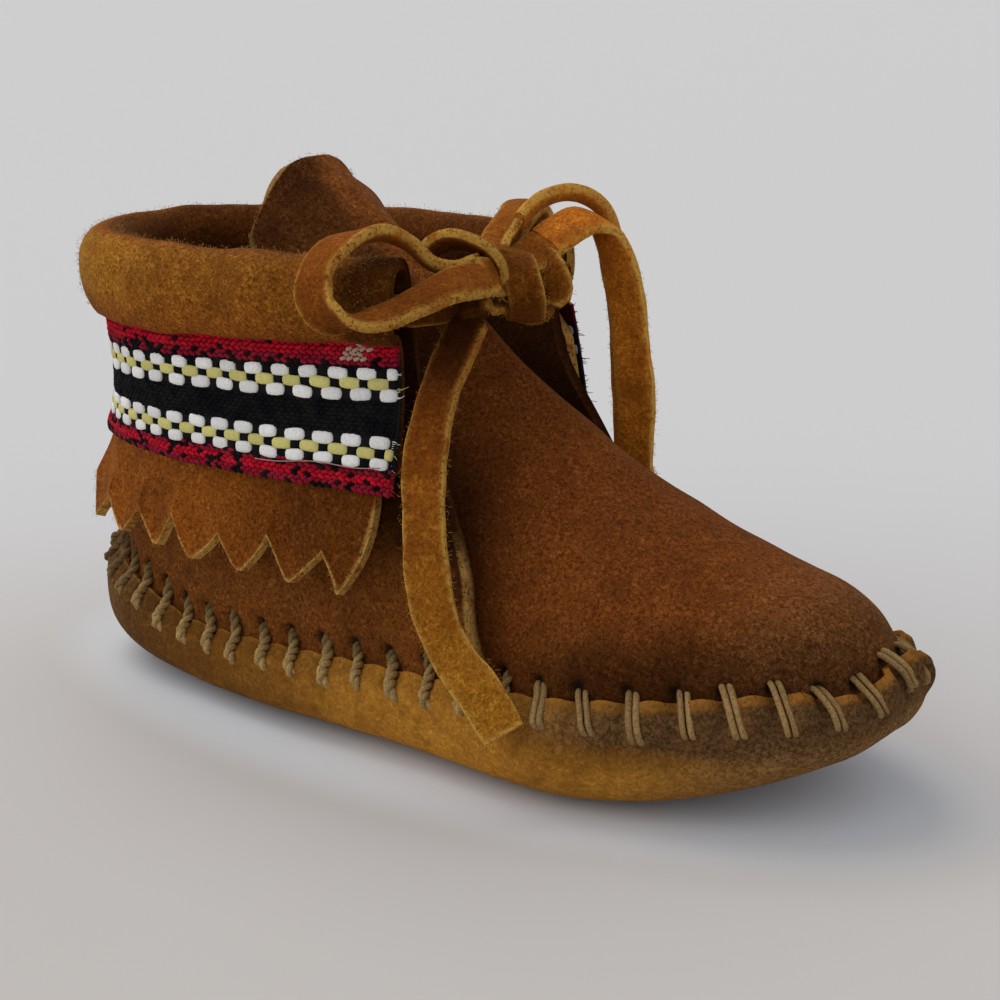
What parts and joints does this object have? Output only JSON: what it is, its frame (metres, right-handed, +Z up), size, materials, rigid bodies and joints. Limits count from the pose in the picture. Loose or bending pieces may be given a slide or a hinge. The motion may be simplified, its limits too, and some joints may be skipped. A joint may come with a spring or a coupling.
{
  "type": "baby moccasin",
  "caption": "Soft suede baby moccasin with a turned-up stitched sole, a folded ankle cuff with a saw-toothed hem and woven band, and a thong tied in a bow.",
  "frame": {"origin": "on the floor under the middle of the shoe's length and width, with the lace's knot, loops and ends left out", "axes": "+X towards the toe, +Y towards the far side, which is to the left of the toe's direction, +Z up"},
  "size_m": [0.1228, 0.0599, 0.0698],
  "materials": {
    "sole_suede": "matte nap",
    "insole_leather": "smooth",
    "upper_suede": "matte nap",
    "tongue_suede": "matte nap",
    "cuff_suede": "matte nap",
    "braid_cotton": "woven",
    "lace_suede": "matte nap"
  },
  "bodies": {
    "root": {"sole": "sole_suede", "insole": "insole_leather", "upper": "upper_suede", "tongue": "tongue_suede", "cuff": "cuff_suede", "braid": "braid_cotton", "lace_drawstring": "lace_suede", "lace_knot": "lace_suede", "lace_loop_right": "lace_suede", "lace_loop_left": "lace_suede", "lace_end_right": "lace_suede", "lace_end_left": "lace_suede"}
  },
  "joints": []
}
